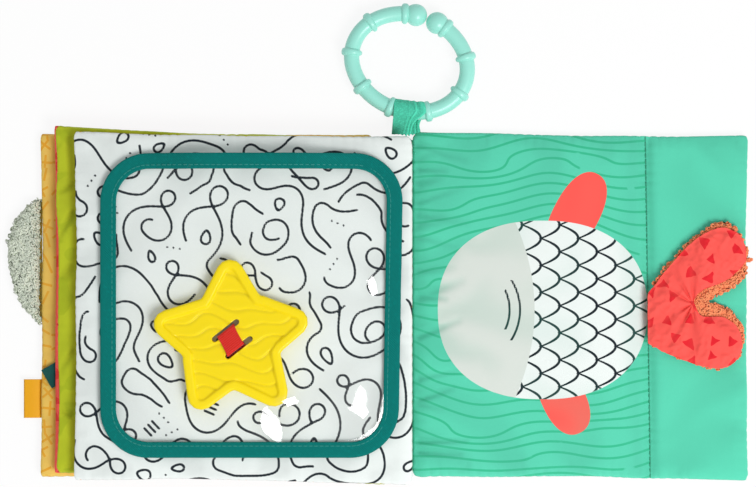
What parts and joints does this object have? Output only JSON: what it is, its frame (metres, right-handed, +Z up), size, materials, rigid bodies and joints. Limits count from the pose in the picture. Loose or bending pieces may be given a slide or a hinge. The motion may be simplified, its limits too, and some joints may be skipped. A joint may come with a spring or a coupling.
{
  "type": "soft activity book",
  "caption": "Baby's padded cloth book lying open, with turning leaves, a clear pocket holding a star teether, a plush flap, a 3-D tail and an open link ring.",
  "frame": {"origin": "underside of the spine cloth, at the gutter and midway along the spine", "axes": "+X across the right page towards its fore-edge, +Y along the spine towards the link ring, +Z up out of the pages"},
  "size_m": [0.357, 0.2324, 0.0277],
  "materials": {
    "turquoise_cloth": "satin",
    "white_cloth": "matt",
    "orange_cloth": "matt",
    "lime_cloth": "matt",
    "coral_cloth": "matt",
    "yellow_cloth": "matt",
    "cover_cloth": "matt",
    "wadding": "fluffy",
    "orange_sherpa": "fluffy",
    "grey_sherpa": "fluffy",
    "clear_film": "clear",
    "teal_tape": "matt",
    "yellow_plastic": "glossy",
    "red_ribbon": "ribbed",
    "turquoise_ribbon": "satin",
    "mint_plastic": "glossy",
    "orange_label": "satin",
    "teal_ribbon": "ribbed"
  },
  "bodies": {
    "back_cover": {"back_cover_outer_cloth": "turquoise_cloth", "back_cover_wadding": "wadding", "fish_panel_cloth": "turquoise_cloth", "plain_panel_cloth": "turquoise_cloth", "spine_cloth": "turquoise_cloth", "ring_ribbon_loop": "turquoise_ribbon"},
    "front_cover": {"front_cover_inner_cloth": "yellow_cloth", "front_cover_outer_cloth": "cover_cloth", "front_cover_wadding": "wadding", "label_tab": "orange_label", "teal_ribbon_tab": "teal_ribbon", "leaf_2_hinge_cloth": "coral_cloth"},
    "leaf_2": {"leaf_2_front_cloth": "lime_cloth", "leaf_2_back_cloth": "coral_cloth", "leaf_2_wadding": "wadding", "leaf_3_hinge_cloth": "white_cloth"},
    "leaf_3": {"leaf_3_front_cloth": "white_cloth", "leaf_3_back_cloth": "orange_cloth", "leaf_3_wadding": "wadding", "window_film": "clear_film", "window_binding": "teal_tape", "star_tether": "red_ribbon"},
    "star": {"star_teether": "yellow_plastic", "star_ribbon": "red_ribbon"},
    "tail": {"tail_front_cloth": "coral_cloth", "tail_back_sherpa": "orange_sherpa", "tail_wadding": "wadding"},
    "link_ring": {"link_ring": "mint_plastic"},
    "plush_flap": {"plush_flap_sherpa": "grey_sherpa", "plush_flap_backing": "yellow_cloth"}
  },
  "joints": [
    {"name": "front_cover_turn", "type": "hinge", "parent": "back_cover", "child": "front_cover", "pos_m": [-0.0077, 0, 0.0192], "axis": [0, 1, 0], "range_deg": [0, 179], "deforming": ["spine_cloth"]},
    {"name": "leaf_2_turn", "type": "hinge", "parent": "front_cover", "child": "leaf_2", "pos_m": [-0.0041, 0, 0.0192], "axis": [0, -1, 0], "range_deg": [-179, 0], "deforming": ["leaf_2_hinge_cloth"]},
    {"name": "leaf_3_turn", "type": "hinge", "parent": "leaf_2", "child": "leaf_3", "pos_m": [0.0012, 0, 0.0192], "axis": [0, -1, 0], "range_deg": [-179, 0], "deforming": ["leaf_3_hinge_cloth"]},
    {"name": "star_slide", "type": "slide", "parent": "leaf_3", "child": "star", "axis": [0, 1, 0], "range_m": [0, 0.05], "deforming": ["star_tether"]},
    {"name": "tail_flip", "type": "hinge", "parent": "back_cover", "child": "tail", "pos_m": [0.1146, 0.0038, 0.0093], "axis": [0, 1, 0], "range_deg": [-179, 0]},
    {"name": "ring_swing", "type": "hinge", "parent": "back_cover", "child": "link_ring", "pos_m": [-0.0001, 0.0939, 0.0056], "axis": [1, 0, 0], "range_deg": [0, 95]},
    {"name": "plush_flap_lift", "type": "hinge", "parent": "front_cover", "child": "plush_flap", "pos_m": [-0.1788, 0.0212, 0.0063], "axis": [0, 1, 0], "range_deg": [0, 90]}
  ]
}
